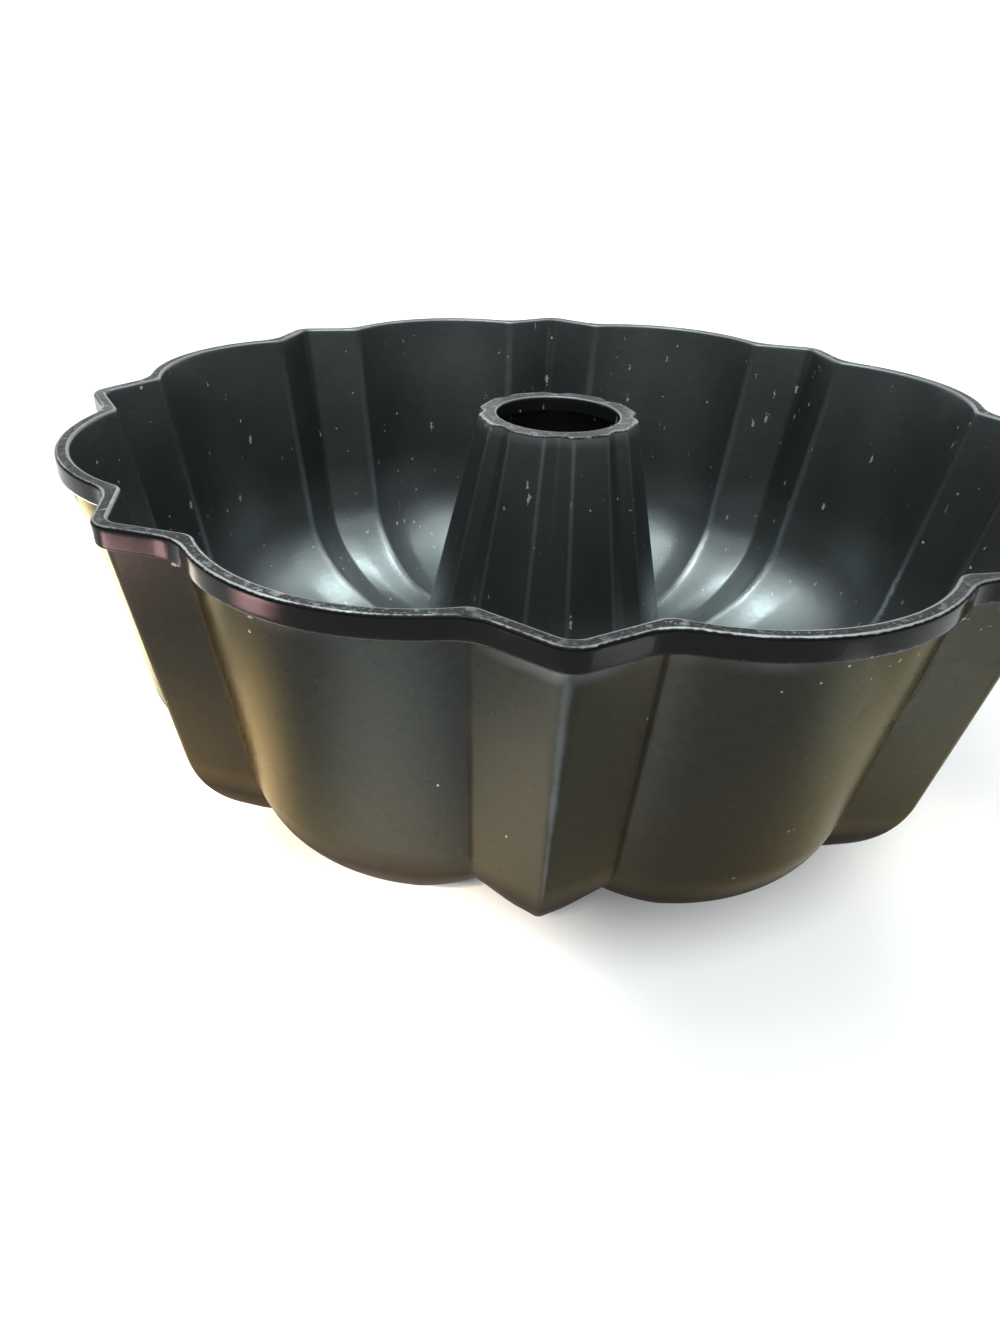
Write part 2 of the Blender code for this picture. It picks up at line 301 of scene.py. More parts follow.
def inside_of_wall(height, into_metal=0.0):
    """The inner outline at this height, or one this much nearer to the outside."""
    factor = wall_scale(height)
    inset = BAND_PROUD + WALL / math.cos(WALL_DRAFT) / factor - into_metal
    tip_round = up_the_wall(height, GROOVE_ROUND, GROOVE_TOP_ROUND) + into_metal
    return scaled(bowl_half(inset, tip_round, CREASE_ROUND - into_metal), factor)


def crease_shares():
    reaches = [point.length for point in bowl_half(BAND_PROUD, RIDGE_ROUND, VALLEY_ROUND)]
    level = REST_SHARE * reaches[0]
    return [max(0, level - reach) / (level - min(reaches)) for reach in reaches]


CREASE_SHARES = crease_shares()
print(f"the outline is {wall_scale(KNEE_HEIGHT):.3f} of its size at the knee")

# %% [markdown]
# The wall is straight from the knee to the band, so a few stations up each side are enough. It is bronze
# outside and non-stick inside, one body with two finishes. Scouring reaches the creases near the floor more
# than those at the rim, so their wear grows on the way down.

# %% Make the wall
WALL_STATIONS = 10
OUTSIDE, INSIDE = 0, 1


def between(low, high, count):
    return [low + (high - low) * k / (count - 1) for k in range(count)]


RIDGE_RUB = 0.8
# Below 0: dirt and painted shade, in the valleys outside and in the grooves inside.
VALLEY_DIRT_AND_SHADE = -0.45
GROOVE_DIRT_AND_SHADE = -0.5
RIM_CREASE_RUB = 0.10  # inside, behind the valleys, at the rim
CREASE_RUB = 0.42  # the same at the knee
FLOOR_CREASE_RUB = 0.95
wall_heights = between(KNEE_HEIGHT, BAND_BOTTOM, WALL_STATIONS)
up = [
    station(outside_of_wall(height), height, tip=RIDGE_RUB, bend=VALLEY_DIRT_AND_SHADE, finish=OUTSIDE)
    for height in wall_heights
]
down = []
for height in reversed(wall_heights):
    rub = up_the_wall(height, CREASE_RUB, RIM_CREASE_RUB)
    down.append(station(inside_of_wall(height), height, tip=GROOVE_DIRT_AND_SHADE, bend=rub, finish=INSIDE))
fluted_wall = loft("wall_of_flutes", up + down, [bronze, nonstick], CREASE_SHARES)

# %% [markdown]
# The rim is a band that stands proud of the wall and runs in a softer wave. On top it has a flat land, and
# its edges are rounded. These edges are what knocks against racks and other pans, so the coating is gone
# there: the worn number is highest on the outer rounding and falls off over the land. A Bevel modifier
# would round the edges too, but stations on an arc can carry that number.

# %% Make the rim band
BAND_EDGE_ROUND = 0.0007
EDGE_STEPS = 6
LAND_STEPS = 10
BAND_SIDE, BAND_LAND, BAND_INSIDE = 0, 1, 2
UNDER_EDGE_RUB = 0.36
TOP_EDGE_RUB = 0.95
LIP_RUB = 0.55
LAND_WEAR_FADE = 5  # wear lost per width of the land, until none is left
QUARTER = [math.pi / 2 * k / EDGE_STEPS for k in range(EDGE_STEPS + 1)]


def band_outline(inset):
    return bowl_half(inset, BAND_RIDGE_ROUND - inset, BAND_VALLEY_ROUND + inset)


def between_outlines(outer, inner, share):
    return [a.lerp(b, share) for a, b in zip(outer, inner)]


def rim_band_stations():
    edge = BAND_EDGE_ROUND
    stations = []
    for turn in QUARTER:
        outline = band_outline(edge * (1 - math.sin(turn)))
        height = BAND_BOTTOM + edge * (1 - math.cos(turn))
        stations.append(station(outline, height, worn=UNDER_EDGE_RUB, finish=BAND_SIDE))
    for height in between(BAND_BOTTOM + 2 * edge, PAN_HEIGHT - 2 * edge, 3):
        stations.append(station(band_outline(0), height, finish=BAND_SIDE))
    for turn in QUARTER:
        outline = band_outline(edge * (1 - math.cos(turn)))
        height = PAN_HEIGHT - edge * (1 - math.sin(turn))
        worn = TOP_EDGE_RUB * math.sin(turn) ** 3
        stations.append(station(outline, height, worn=worn, finish=BAND_SIDE))
    outer = band_outline(edge)
    inner = inside_of_wall(PAN_HEIGHT, edge)
    stations[-1] = station(outer, PAN_HEIGHT, worn=1, finish=BAND_LAND)
    for k in range(1, LAND_STEPS):
        share = k / LAND_STEPS
        outline = between_outlines(outer, inner, share)
        worn = max(0, 1 - share * LAND_WEAR_FADE)
        stations.append(station(outline, PAN_HEIGHT, worn=worn, finish=BAND_LAND))
    for turn in QUARTER:
        height = PAN_HEIGHT - edge * (1 - math.cos(turn))
        outline = inside_of_wall(height, edge * (1 - math.sin(turn)))
        worn = LIP_RUB * math.cos(turn)
        stations.append(station(outline, height, 0, worn, GROOVE_DIRT_AND_SHADE, RIM_CREASE_RUB, BAND_INSIDE))
    for height in between(PAN_HEIGHT - 2 * edge, BAND_BOTTOM, 4):
        outline = inside_of_wall(height)
        stations.append(station(outline, height, 0, 0, GROOVE_DIRT_AND_SHADE, RIM_CREASE_RUB, BAND_INSIDE))
    return stations


rim = loft("rim", rim_band_stations(), [rim_coat, worn_land, nonstick], CREASE_SHARES)

# %% [markdown]
# The floor rounds in from the wall, runs flat where the pan stands and rises into the foot of the tube. Its
# rounding is a cubic curve between two tangents, and its rise a fillet. On the way in the flutes' outline
# turns into the tube's, and the creases between the flutes stand up as low ribs. The first step of the
# curve is tiny, so that the shading runs on from the straight wall without a mark.

# %% Describe the floor
CROWN_REACH = 0.0685
KNEE_FULLNESS = 0.59
FLUTE_FADE_REACH = 0.092
CREASE_LIFT = 0.0027
FOOT_FILLET = 0.014
TUBE_TOP_RADIUS = 0.0217
TUBE_FOOT_RADIUS = 0.0425
TUBE_DRAFT = math.atan((TUBE_FOOT_RADIUS - TUBE_TOP_RADIUS) / TUBE_TOP)
BORE_FOOT_RADIUS = TUBE_FOOT_RADIUS - TUBE_GROOVE_DEPTH - WALL / math.cos(TUBE_DRAFT)
KNEE_REACH = WALL_REACH - (PAN_HEIGHT - KNEE_HEIGHT) * math.tan(WALL_DRAFT)
KNEE_STEPS = 30
FIRST_KNEE_STEP = 0.004
FLAT_STEPS = 8
FILLET_STEPS = 12
PANEL_RUB = 0.30  # on the edges between the tube's panels
# Painted shade: the bore's colour is darkened, as if little light reached down it.
BORE_SHADE = -0.6


def knee_stations():
    """Reach, height and outward normal along the rounding from the knee down to the flat ring."""
    start = Vector((KNEE_REACH, KNEE_HEIGHT))
    corner = Vector((KNEE_REACH - KNEE_HEIGHT * math.tan(WALL_DRAFT), 0))
    end = Vector((CROWN_REACH, 0))
    first = start.lerp(corner, KNEE_FULLNESS)
    second = end.lerp(corner, KNEE_FULLNESS)
    places = []
    for t in [FIRST_KNEE_STEP] + [k / KNEE_STEPS for k in range(1, KNEE_STEPS + 1)]:
        u = 1 - t
        place = start * u**3 + first * 3 * u * u * t + second * 3 * u * t * t + end * t**3
        run = ((first - start) * u * u + (second - first) * 2 * u * t + (end - second) * t * t).normalized()
        places.append((place.x, place.y, Vector((-run.y, run.x))))
    return places


def rise(slope, steepest):
    """How far the creases have risen where the surface slopes this much: 0 where it joins the steep part."""
    return CREASE_LIFT * (slope - steepest) / (1 - steepest)


def fillet_stations(foot_radius, floor_height, radius):
    """Radius, height and crease lift along the fillet from the floor up to the tube's slope."""
    centre = Vector((0, floor_height + radius))
    centre.x = foot_radius - centre.y * math.tan(TUBE_DRAFT) + radius / math.cos(TUBE_DRAFT)
    places = []
    for k in range(FILLET_STEPS + 1):
        angle = -math.pi / 2 + (TUBE_DRAFT - math.pi / 2) * k / FILLET_STEPS
        place = centre + polar(radius, angle)
        places.append((place.x, place.y, rise(-math.sin(angle), math.sin(TUBE_DRAFT))))
    return places


def floor_outline(bowl, foot, reach):
    """The flutes' outline at this reach, which turns into the tube's on the way in to its foot."""
    foot_reach = foot[-1].length
    share = min(1, max(0, (FLUTE_FADE_REACH - reach) / (FLUTE_FADE_REACH - foot_reach)))
    share = share * share * (3 - 2 * share)
    return between_outlines(scaled(bowl, reach / WALL_REACH), scaled(foot, reach / foot_reach), share)


def across_the_flat(foot):
    step = (foot[-1].length - CROWN_REACH) / FLAT_STEPS
    return [CROWN_REACH + step * k for k in range(1, FLAT_STEPS)]


def tube_outside(height, inset=0.0):
    return tube_half(TUBE_FOOT_RADIUS - height * math.tan(TUBE_DRAFT) - inset, TUBE_GROOVE_DEPTH)


def tube_inside(height):
    return tube_half(BORE_FOOT_RADIUS - height * math.tan(TUBE_DRAFT), 0)


print(f"the tube leans in by {math.degrees(TUBE_DRAFT):.1f} degrees")
print(f"its bore is {BORE_FOOT_RADIUS:.4f} at the foot")

# %% [markdown]
# The floor is one body again: down the underside from the knee to the tube, then back over the upper side.

# %% Make the floor
def underside():
    bowl = bowl_half(BAND_PROUD, RIDGE_ROUND, VALLEY_ROUND)
    fillet = fillet_stations(BORE_FOOT_RADIUS, 0, FOOT_FILLET + WALL)
    foot = tube_half(fillet[0][0], 0)
    stations = [station(outside_of_wall(KNEE_HEIGHT), KNEE_HEIGHT, tip=RIDGE_RUB, bend=VALLEY_DIRT_AND_SHADE)]
    for reach, height, outward in knee_stations():
        lift = rise(-outward.y, math.sin(WALL_DRAFT))
        fade = height / KNEE_HEIGHT
        outline = floor_outline(bowl, foot, reach)
        stations.append(station(outline, height, lift, tip=RIDGE_RUB * fade, bend=VALLEY_DIRT_AND_SHADE * fade))
    for reach in across_the_flat(foot):
        stations.append(station(floor_outline(bowl, foot, reach), 0, CREASE_LIFT))
    for radius, height, lift in fillet:
        stations.append(station(tube_half(radius, 0), height, lift))
    stations.append(station(tube_inside(TUBE_JOINT), TUBE_JOINT, worn=BORE_SHADE))
    return stations


def upper_side():
    fillet = fillet_stations(TUBE_FOOT_RADIUS, WALL, FOOT_FILLET)
    foot = tube_half(fillet[0][0], TUBE_GROOVE_DEPTH)
    knee = inside_of_wall(KNEE_HEIGHT)
    stations = [station(knee, KNEE_HEIGHT, tip=GROOVE_DIRT_AND_SHADE, bend=CREASE_RUB, finish=INSIDE)]
    for reach, height, outward in knee_stations():
        inset = BAND_PROUD + WALL * outward.x * WALL_REACH / reach
        outline = floor_outline(bowl_half(inset, GROOVE_ROUND, CREASE_ROUND), foot, reach)
        lift = rise(-outward.y, math.sin(WALL_DRAFT))
        dirt = GROOVE_DIRT_AND_SHADE * height / KNEE_HEIGHT
        crease = FLOOR_CREASE_RUB + (CREASE_RUB - FLOOR_CREASE_RUB) * height / KNEE_HEIGHT
        level = height - WALL * outward.y
        stations.append(station(outline, level, lift, tip=dirt, bend=crease, finish=INSIDE))
    bowl = bowl_half(BAND_PROUD, GROOVE_ROUND, CREASE_ROUND)
    for reach in across_the_flat(foot):
        outline = floor_outline(bowl, foot, reach)
        stations.append(station(outline, WALL, CREASE_LIFT, bend=FLOOR_CREASE_RUB, finish=INSIDE))
    for radius, height, lift in fillet:
        outline = tube_half(radius, TUBE_GROOVE_DEPTH)
        stations.append(station(outline, height, lift, bend=PANEL_RUB, finish=INSIDE))
    stations.append(station(tube_outside(TUBE_JOINT), TUBE_JOINT, bend=PANEL_RUB, finish=INSIDE))
    return stations[::-1]


floor_of_flutes = loft("floor_of_flutes", underside() + upper_side(), [bronze, nonstick], CREASE_SHARES)

# %% [markdown]
# The tube is straight, like the wall, and hollow. Hot air rises through it, so that the cake bakes from the
# middle too. It ends in a collar, whose bore is a little narrower and whose top edge is as worn as the rim.

# %% Make the tube and its collar
TUBE_STATIONS = 10
COLLAR_BORE_RADIUS = 0.0167
COLLAR_EDGE_ROUND = 0.0005
COLLAR_SIDE, COLLAR_LAND, COLLAR_BORE = 0, 1, 2
COLLAR_RUB, COLLAR_EDGE_RUB = 0.34, 0.76  # at the foot of the outer rounding and at its top
COLLAR_WEAR_FADE = 1.6
COLLAR_LIP_RUB = 0.5

tube_heights = between(TUBE_JOINT, COLLAR_BOTTOM, TUBE_STATIONS)
up = [station(tube_outside(height), height, bend=PANEL_RUB, finish=INSIDE) for height in tube_heights]
down = [
    # The bore gets painted shade.
    station(tube_inside(height), height, worn=BORE_SHADE, finish=OUTSIDE)
    for height in reversed(tube_heights)
]
tube = loft("tube", up + down, [nonstick, nonstick], CREASE_SHARES)


def collar_stations():
    edge = COLLAR_EDGE_ROUND
    stations = [station(tube_outside(COLLAR_BOTTOM), COLLAR_BOTTOM, bend=PANEL_RUB, finish=COLLAR_SIDE)]
    for turn in QUARTER:
        height = TUBE_TOP - edge * (1 - math.sin(turn))
        outline = tube_outside(height, edge * (1 - math.cos(turn)))
        worn = COLLAR_RUB + (COLLAR_EDGE_RUB - COLLAR_RUB) * math.sin(turn)
        stations.append(station(outline, height, worn=worn, finish=COLLAR_LAND))
    outer = stations.pop().outline
    inner = tube_half(COLLAR_BORE_RADIUS + edge, 0)
    for k in range(LAND_STEPS):
        share = k / LAND_STEPS
        outline = between_outlines(outer, inner, share)
        worn = max(0, COLLAR_EDGE_RUB - share * COLLAR_WEAR_FADE)
        stations.append(station(outline, TUBE_TOP, worn=worn, finish=COLLAR_LAND))
    for turn in QUARTER:
        outline = tube_half(COLLAR_BORE_RADIUS + edge * (1 - math.sin(turn)), 0)
        height = TUBE_TOP - edge * (1 - math.cos(turn))
        stations.append(station(outline, height, worn=COLLAR_LIP_RUB * math.cos(turn), finish=COLLAR_BORE))
    for height in between(TUBE_TOP - 2 * edge, COLLAR_BOTTOM, 3):
        outline = tube_half(COLLAR_BORE_RADIUS, 0)
        stations.append(station(outline, height, worn=BORE_SHADE, finish=COLLAR_BORE))
    return stations


collar = loft("collar", collar_stations(), [nonstick, worn_land, nonstick], CREASE_SHARES)

# %% [markdown]
# Each fine piece stands for the solid that it covers, and rides on the one body that the pan is.

# %% Put the pieces in the frame's place
for piece, node, slot in (
    (rim, "rim_band", "rim_coat"),
    (fluted_wall, "fluted_wall", "bronze_coat"),
    (floor_of_flutes, "fluted_floor", "bronze_coat"),
    (tube, "centre_tube", "nonstick"),
    (collar, "tube_collar", "worn_land"),
):
    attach(piece, "root")
    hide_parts(node)
    print(f"{piece.name} stands for {node}")

# %% [markdown]
# Materials are trees of nodes. A few small helpers keep them short: one adds a node and feeds it, the others
# read a number off the surface, do one sum, or turn a range of values into a share from 0 to 1.

# %% Helpers for the finishes
def add(tree, kind, feed=None, **settings):
    """A node of this kind. A fed socket is linked, and a fed number or colour is set."""
    node = tree.nodes.new("ShaderNode" + kind)
    for key, value in settings.items():
        setattr(node, key, value)
    for key, value in (feed or {}).items():
        if isinstance(value, bpy.types.NodeSocket):
            tree.links.new(value, node.inputs[key])
        else:
            node.inputs[key].default_value = value
    return node


def share_of(tree, value, low, high):
    """0 where the value is low, 1 where it is high, and in step between."""
    return add(tree, "MapRange", {"Value": value, "From Min": low, "From Max": high}).outputs[0]


def spread(tree, value, low, high):
    """A share from 0 to 1 turned into a range of values."""
    return add(tree, "MapRange", {"Value": value, "To Min": low, "To Max": high}).outputs[0]


def calc(tree, operation, a, b=0.0):
    """One sum with two numbers."""
    return add(tree, "Math", {0: a, 1: b}, operation=operation).outputs[0]


def mix(tree, share, low, high):
    """A colour between two others, all low at a share of 0."""
    return add(tree, "Mix", {0: share, 6: low, 7: high}, data_type="RGBA").outputs[2]


def place_of(tree, turn=(0, 0, 0), stretch=(1, 1, 1)):
    """The point on the pan, turned and stretched for a pattern that leans or runs long."""
    place = add(tree, "TexCoord").outputs["Object"]
    return add(tree, "Mapping", {"Vector": place, "Rotation": turn, "Scale": stretch}).outputs[0]


def height_of(tree):
    return add(tree, "SeparateXYZ", {"Vector": place_of(tree)}).outputs["Z"]


def worn_of(tree):
    return add(tree, "Attribute", attribute_name="worn").outputs["Fac"]


def noise(tree, scale, detail=2.0, place=None):
    """Noise with this many features per metre."""
    feed = {"Vector": place or place_of(tree), "Scale": scale, "Detail": detail}
    return add(tree, "TexNoise", feed).outputs[0]


def flecks(tree, scale, reach, kept, place=None, fray=None):
    """1 in small flecks of up to this reach. Each cell of the pattern holds one, and this share is kept."""
    cells = add(tree, "TexVoronoi", {"Vector": place or place_of(tree), "Scale": scale}).outputs
    tint = add(tree, "SeparateColor", {0: cells["Color"]}).outputs
    size = spread(tree, tint[1], reach * scale * 0.4, reach * scale)
    away = calc(tree, "MULTIPLY", cells["Distance"], fray or fray_of(tree))
    return calc(tree, "MULTIPLY", calc(tree, "LESS_THAN", away, size), calc(tree, "LESS_THAN", tint[0], kept))


def fray_of(tree):
    """A number around 1 that frays the outline of the flecks."""
    return spread(tree, noise(tree, 1300.0, 1.0), -0.1, 2.1)


def most(tree, *values):
    """The highest of these numbers at each point."""
    result = values[0]
    for value in values[1:]:
        result = calc(tree, "MAXIMUM", result, value)
    return result


def shader_of(material, **sockets):
    """The material's shader, with plain values set on its sockets."""
    shader = material.node_tree.nodes["Principled BSDF"]
    for key, value in sockets.items():
        shader.inputs[key.replace("_", " ")].default_value = value
    return shader


def wire(material, shader, **sockets):
    """Patterns linked to the shader's sockets, as the last step of a finish."""
    for key, value in sockets.items():
        material.node_tree.links.new(value, shader.inputs[key.replace("_", " ")])
    print(f"{material.name}: {len(material.node_tree.nodes)} nodes")


# %% [markdown]
# All the finishes lose their coat in the same way, so they share one recipe for the bare aluminium. Noise of
# three sizes pushes the worn number up and down before it is cut off, which makes the bare line broken and
# uneven. A plain cut would draw it with a ruler.

# %% Bare aluminium
ALUMINIUM = (0.52, 0.53, 0.53, 1)
DULL_ALUMINIUM = (0.18, 0.185, 0.185, 1)
RUBBED_ALUMINIUM = (0.46, 0.47, 0.47, 1)


def bare_metal(tree, low, high):
    """The share of bare metal, from the worn number and three sizes of noise."""
    stretches = spread(tree, noise(tree, 22.0, 1.0), -0.5, 0.5)
    coarse = spread(tree, noise(tree, 150.0, 2.0), -0.35, 0.35)
    fine = spread(tree, noise(tree, 1100.0, 3.0), -0.40, 0.40)
    shift = calc(tree, "ADD", stretches, calc(tree, "ADD", coarse, fine))
    return share_of(tree, calc(tree, "ADD", worn_of(tree), shift), low, high)


def metal_colour(tree):
    """Bare aluminium, dull with grease in some stretches and bright in others."""
    return mix(tree, share_of(tree, noise(tree, 34.0, 3.0), 0.40, 0.60), DULL_ALUMINIUM, RUBBED_ALUMINIUM)


# %% [markdown]
# Under the band the coat is chipped where other pans and racks have knocked it. Chips need a place as well
# as a pattern, so they grow denser towards the band, in stretches that a coarse noise picks, and round one
# knock on the lobe right of the front ridge. Painted one by one they would sit better, but only there.

# %% Chip the coat under the band
CHIPPED_FROM = BAND_BOTTOM - 0.007
KNOCK_PLACE = (0.036, -0.1195, BAND_BOTTOM)
KNOCK_REACH = 0.016
CHIP_REACH = 0.00060
SCRAPE_REACH = 0.00028


def chips(tree, fray):
    """Chips and short scrapes close under the band."""
    near_band = share_of(tree, height_of(tree), CHIPPED_FROM, BAND_BOTTOM)
    stretches = share_of(tree, noise(tree, 22.0, 1.0), 0.50, 0.62)
    off = add(tree, "VectorMath", {0: place_of(tree), 1: KNOCK_PLACE}, operation="DISTANCE").outputs["Value"]
    hit = share_of(tree, off, KNOCK_REACH, KNOCK_REACH / 2)
    knocked = calc(tree, "MULTIPLY", near_band, most(tree, stretches, hit))
    chip_place = place_of(tree, (0.4, 0.9, 0.3), (1, 0.4, 1))
    scrape_place = place_of(tree, (-0.6, 0.5, 1.1), (0.16, 1, 1))
    return most(
        tree,
        flecks(tree, 400.0, CHIP_REACH, calc(tree, "MULTIPLY", knocked, 0.7), chip_place, fray),
        flecks(tree, 520.0, SCRAPE_REACH, knocked, scrape_place, fray),
    )


# %% [markdown]
# The outside has a bronze coat: a thin satin lacquer with metal flakes in it, so it takes its light from
# whatever lies around the pan. A fully metallic shader does this. A diffuse one would look like paint. It is
# greyer where the wall is clean and browner near the foot, partly from the oven's heat and partly as a
# painted warm reflection of the paper by the foot. Lowest down it is darker still, with burnt fat and with
# painted shade where the foot mirrors the shadowed paper under the pan. Ridges are rubbed pale, and valleys
# are dark with dirt and painted shade.

# %% Paint the bronze coat
BRONZE_GREY = (0.0195, 0.0208, 0.0190, 1)
BRONZE_BROWN = (0.031, 0.0245, 0.0165, 1)
BRONZE_RUBBED = (0.080, 0.088, 0.090, 1)
BRONZE_SHEEN = (0.78, 0.73, 0.60, 1)
# Burnt fat and painted shade: low on the foot, where it mirrors the shadowed paper, and in the valleys.
BURNT_FAT_AND_SHADE = (0.014, 0.008, 0.0055, 1)
SCORCH_AND_SHADE_FROM, SCORCH_AND_SHADE_TO = 0.029, 0.0215
# Below this the coat turns browner: heat tone and a painted warm reflection of the paper by the foot.
BROWN_BELOW = 0.060
SCORCH_AND_SHADE_WAVE = 0.003  # how far the edge of the burnt fat and painted shade wanders up and down
SMEARED_FROM, SMEARED_TO = BAND_BOTTOM - 0.0035, BAND_BOTTOM - 0.0005
TICK_REACH, HAIRLINE_REACH = 0.00045, 0.00024


def paint_bronze(material):
    tree = material.node_tree
    shader = shader_of(material, Specular_Tint=BRONZE_SHEEN, Specular_IOR_Level=0.03)
    worn = worn_of(tree)
    height = height_of(tree)
    fray = fray_of(tree)
    patches = share_of(tree, noise(tree, 9.0, 3.0), 0.35, 0.65)
    # Browner towards the foot: heat tone and a painted warm reflection of the paper.
    brown_tone_and_reflection = share_of(tree, calc(tree, "ADD", share_of(tree, height, BROWN_BELOW, 0.0), patches), 0.35, 1.45)
    wave = spread(tree, patches, -SCORCH_AND_SHADE_WAVE, SCORCH_AND_SHADE_WAVE)
    # Darkest near the foot: burnt fat and painted shade.
    scorched_and_shaded = share_of(tree, calc(tree, "ADD", height, wave), SCORCH_AND_SHADE_FROM, SCORCH_AND_SHADE_TO)
    uneven_rub = calc(tree, "ADD", worn, spread(tree, noise(tree, 120.0, 3.0), -0.5, 0.5))
    # Dirt and painted shade in the valleys, where the worn number is below 0.
    uneven_dirt_and_shade = calc(tree, "ADD", worn, spread(tree, noise(tree, 90.0, 3.0), -0.15, 0.15))
    rubbed = share_of(tree, uneven_rub, 0.3, 1.0)
    dirt_and_shade = share_of(tree, uneven_dirt_and_shade, -0.1, -0.5)
    smear = calc(
        tree, "MULTIPLY", share_of(tree, height, SMEARED_FROM, SMEARED_TO),
        share_of(tree, noise(tree, 26.0, 2.0), 0.46, 0.60),
    )
    ticks = most(
        tree,
        flecks(tree, 130.0, TICK_REACH, 0.2, fray=fray),
        flecks(tree, 220.0, HAIRLINE_REACH, 0.5, place_of(tree, (0.15, 0.1, 0), (1, 1, 0.2)), fray),
    )
    chipped = chips(tree, fray)
    colour = mix(tree, brown_tone_and_reflection, BRONZE_GREY, BRONZE_BROWN)
    colour = mix(tree, spread(tree, noise(tree, 700.0, 2.0), 0.0, 0.15), colour, BRONZE_RUBBED)
    colour = mix(tree, calc(tree, "MULTIPLY", most(tree, rubbed, smear), 0.8), colour, BRONZE_RUBBED)
    # Burnt fat and painted shade, at the foot and in the valleys.
    burnt_and_shaded = calc(tree, "MULTIPLY", most(tree, calc(tree, "MULTIPLY", dirt_and_shade, 0.6), scorched_and_shaded), 0.9)
    colour = mix(tree, burnt_and_shaded, colour, BURNT_FAT_AND_SHADE)
    colour = mix(tree, calc(tree, "MULTIPLY", ticks, 0.35), colour, ALUMINIUM)
    colour = mix(tree, calc(tree, "MULTIPLY", chipped, 0.5), colour, ALUMINIUM)
    metal = spread(tree, scorched_and_shaded, 1.0, 0.25)
    satin = spread(tree, noise(tree, 60.0, 4.0), 0.23, 0.32)
    rough = calc(tree, "ADD", satin, spread(tree, most(tree, dirt_and_shade, scorched_and_shaded), 0.0, 0.3))
    pits = calc(tree, "MULTIPLY", most(tree, ticks, chipped), -2.0)
    grain = calc(tree, "ADD", noise(tree, 1600.0, 2.0), pits)
    bump = add(tree, "Bump", {"Strength": 0.25, "Distance": 0.00003, "Height": grain}).outputs[0]
    wire(material, shader, Base_Color=colour, Metallic=metal, Roughness=rough, Normal=bump)


paint_bronze(bronze)

# %% [markdown]
# Years of turning cakes out have marked the inside with scratches, most of them up and down, and with nicks
# of knife tips. Both are the same pattern: small flecks, stretched along one axis. A picture of scratches
# would repeat and show its seams on a form like this, and a pattern in space has none.

# %% Scratch the inside
SCRATCH_REACH, SCRATCH_STRETCH = 0.00020, 0.03
NICK_REACH, NICK_STRETCH = 0.00050, 0.3


def scratches(tree, fray, tilt, kept):
    """Long thin lines that run up and down, leaning by this tilt."""
    return flecks(tree, 200.0, SCRATCH_REACH, kept, place_of(tree, tilt, (1, 1, SCRATCH_STRETCH)), fray)


def nicks(tree, fray, tilt, kept):
    """Short marks of a knife tip or a spoon, a few millimetres long."""
    return flecks(tree, 200.0, NICK_REACH, kept, place_of(tree, tilt, (1, 1, NICK_STRETCH)), fray)


# %% [markdown]
# The inside has a charcoal non-stick coat. It is a satin skin with fine metal flakes, paler in itself than
# the outside and with a cool sheen. Near the floor it is scoured, and it is rubbed bare along the creases.
# Scratches, nicks and the crumbs that no wash took off are less metallic than the skin, so they stay pale
# in the dark parts of the bowl too.

# %% Paint the non-stick coat
COAT_DARK = (0.080, 0.083, 0.082, 1)
COAT_PALE = (0.112, 0.118, 0.118, 1)
COAT_SCOURED = (0.230, 0.250, 0.252, 1)
COAT_RUBBED = (0.400, 0.430, 0.440, 1)
# Dirt and painted shade, in the grooves and down the bore.
COAT_DIRT_AND_SHADE = (0.022, 0.022, 0.022, 1)
CRUMB = (0.55, 0.55, 0.53, 1)
SCOURED_FROM, SCOURED_TO = 0.046, 0.012
CRUMB_REACH, SPECK_REACH = 0.00052, 0.00032


